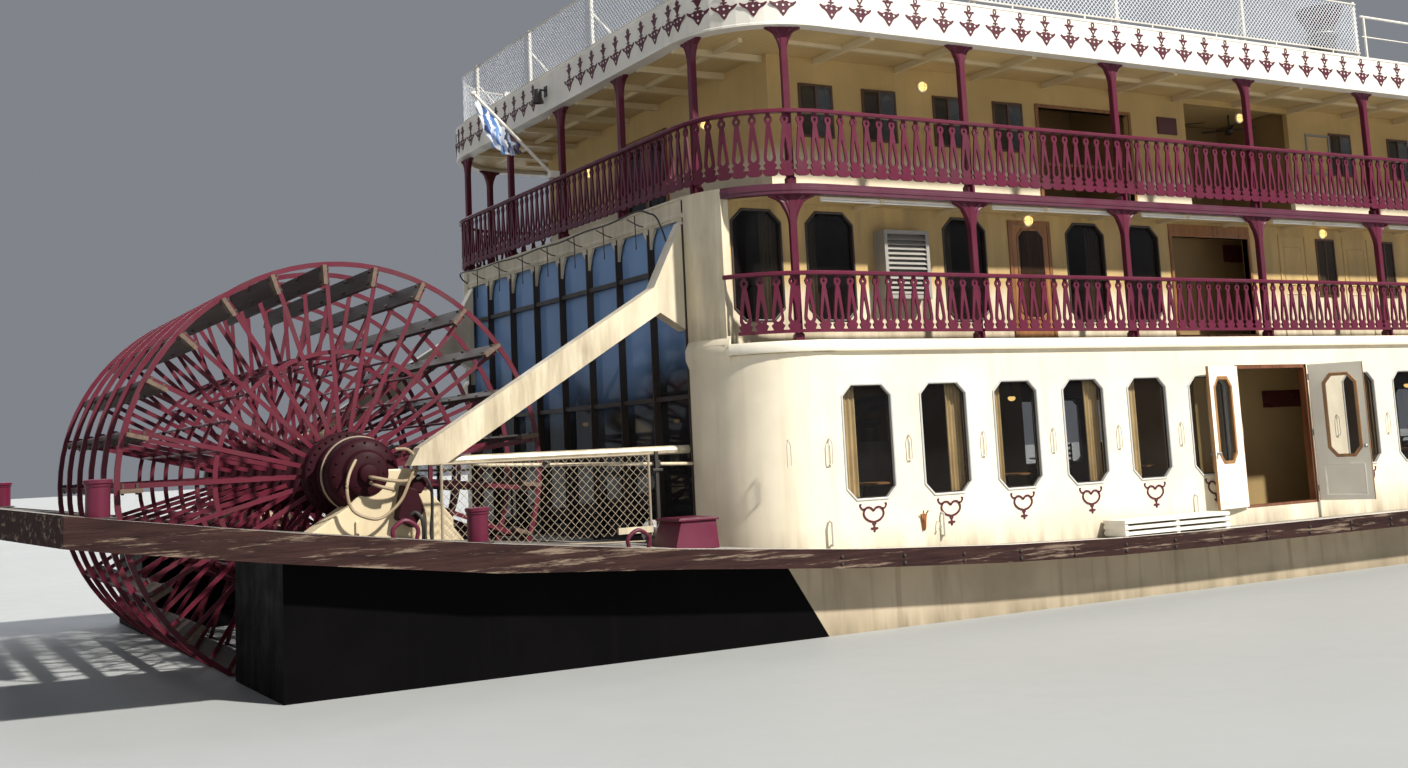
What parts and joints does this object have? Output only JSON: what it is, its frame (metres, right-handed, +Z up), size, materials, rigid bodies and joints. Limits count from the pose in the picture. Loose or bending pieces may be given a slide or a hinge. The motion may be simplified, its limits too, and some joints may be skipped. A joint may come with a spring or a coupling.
{
  "type": "paddle steamer scale model",
  "caption": "Stern-wheel river passenger boat with galleries, sun deck, wheelhouse and funnels, as a large scale model with a turning wheel, doors, rudders and landing stage.",
  "frame": {"origin": "on the centreline, amidships, at the waterline", "axes": "+X to the bow, +Y to port, +Z up"},
  "size_m": [33.4998, 7.7956, 8.45],
  "materials": {
    "cream_paint": "satin cream paint, lightly weathered",
    "white_paint": "satin off-white paint",
    "burgundy_paint": "satin burgundy paint",
    "black_paint": "black paint",
    "deck_planks": "grey-white weathered planks",
    "weathered_timber": "dark worn timber",
    "brown_timber": "varnished brown timber",
    "dark_frame": "dark painted frame",
    "window_glass": "dark clear glass",
    "machine_steel": "worn steel",
    "flag_cloth": "woven cloth"
  },
  "bodies": {
    "ship": {"hull": "cream_paint", "deck_2": "cream_paint", "deck_3": "cream_paint", "deckhouse_starboard": "cream_paint", "deckhouse_port": "cream_paint", "deckhouse_front": "cream_paint", "cabin_2_starboard": "cream_paint", "cabin_2_port": "cream_paint", "cabin_2_front": "cream_paint", "cabin_3_starboard": "cream_paint", "cabin_3_port": "cream_paint", "cabin_3_front": "cream_paint", "cabin_3_aft": "cream_paint", "wheelhouse": "cream_paint", "bearing_starboard": "cream_paint", "bearing_port": "cream_paint", "brace_starboard": "cream_paint", "brace_port": "cream_paint", "fascia_starboard": "white_paint", "fascia_port": "white_paint", "fascia_stern": "white_paint", "fascia_front": "white_paint", "sun_deck_screen": "white_paint", "flagstaff": "white_paint", "boarding_step": "white_paint", "posts_2_starboard": "burgundy_paint", "posts_2_port": "burgundy_paint", "posts_2_front": "burgundy_paint", "rail_2_starboard": "burgundy_paint", "rail_2_port": "burgundy_paint", "rail_2_front": "burgundy_paint", "rail_3_starboard": "burgundy_paint", "rail_3_port": "burgundy_paint", "rail_3_stern": "burgundy_paint", "rail_3_front": "burgundy_paint", "wheelhouse_roof": "burgundy_paint", "windlass": "burgundy_paint", "stern_winch": "burgundy_paint", "main_deck": "deck_planks", "stern_deck": "deck_planks", "sun_deck": "deck_planks", "guard_starboard": "weathered_timber", "guard_port": "weathered_timber", "stern_frame": "dark_frame", "stern_glass": "window_glass", "funnel_starboard": "black_paint", "funnel_port": "black_paint", "engine_block": "machine_steel", "flag": "flag_cloth"},
    "paddle_wheel": {"paddle_wheel": "burgundy_paint"},
    "rudder_starboard": {"rudder_starboard": "black_paint"},
    "rudder_port": {"rudder_port": "black_paint"},
    "door_aft_starboard": {"door_aft_starboard": "white_paint"},
    "door_fore_starboard": {"door_fore_starboard": "white_paint"},
    "door_aft_port": {"door_aft_port": "white_paint"},
    "door_fore_port": {"door_fore_port": "white_paint"},
    "wheelhouse_door_starboard": {"wheelhouse_door_starboard": "brown_timber"},
    "wheelhouse_door_port": {"wheelhouse_door_port": "brown_timber"},
    "landing_stage": {"landing_stage": "weathered_timber"},
    "signal_mast": {"signal_mast": "white_paint"}
  },
  "joints": [
    {"name": "wheel_spin", "type": "hinge", "parent": "ship", "child": "paddle_wheel", "pos_m": [-14.005, 0, 1.445], "axis": [0, 1, 0], "continuous": true},
    {"name": "rudder_starboard_swing", "type": "hinge", "parent": "ship", "child": "rudder_starboard", "pos_m": [-11.5, -1.05, 0], "axis": [0, 0, 1], "range_deg": [-40, 40]},
    {"name": "rudder_port_swing", "type": "hinge", "parent": "ship", "child": "rudder_port", "pos_m": [-11.5, 1.05, 0], "axis": [0, 0, 1], "range_deg": [-40, 40]},
    {"name": "door_aft_starboard_swing", "type": "hinge", "parent": "ship", "child": "door_aft_starboard", "pos_m": [-5.75, -3.4425, 1.4], "axis": [0, 0, 1], "range_deg": [0, 170]},
    {"name": "door_fore_starboard_swing", "type": "hinge", "parent": "ship", "child": "door_fore_starboard", "pos_m": [-4.72, -3.4425, 1.4], "axis": [0, 0, 1], "range_deg": [-118, 50]},
    {"name": "door_aft_port_swing", "type": "hinge", "parent": "ship", "child": "door_aft_port", "pos_m": [-5.75, 3.4425, 1.4], "axis": [0, 0, 1], "range_deg": [-170, 0]},
    {"name": "door_fore_port_swing", "type": "hinge", "parent": "ship", "child": "door_fore_port", "pos_m": [-4.72, 3.4425, 1.4], "axis": [0, 0, 1], "range_deg": [-50, 118]},
    {"name": "wheelhouse_door_starboard_swing", "type": "hinge", "parent": "ship", "child": "wheelhouse_door_starboard", "pos_m": [4.772, -1.1625, 5.65], "axis": [0, 0, 1], "range_deg": [0, 100]},
    {"name": "wheelhouse_door_port_swing", "type": "hinge", "parent": "ship", "child": "wheelhouse_door_port", "pos_m": [4.772, 1.1625, 5.65], "axis": [0, 0, 1], "range_deg": [-100, 0]},
    {"name": "landing_stage_swing", "type": "hinge", "parent": "ship", "child": "landing_stage", "pos_m": [15.8, 0, 1.21464], "axis": [0, 1, 0], "range_deg": [0, 187]},
    {"name": "signal_mast_fold", "type": "hinge", "parent": "ship", "child": "signal_mast", "pos_m": [6.1, 0, 6.475], "axis": [0, 1, 0], "range_deg": [-90, 0]}
  ],
  "couplings": [
    {"joint": "rudder_port_swing", "follows": "rudder_starboard_swing", "ratio": 1}
  ]
}
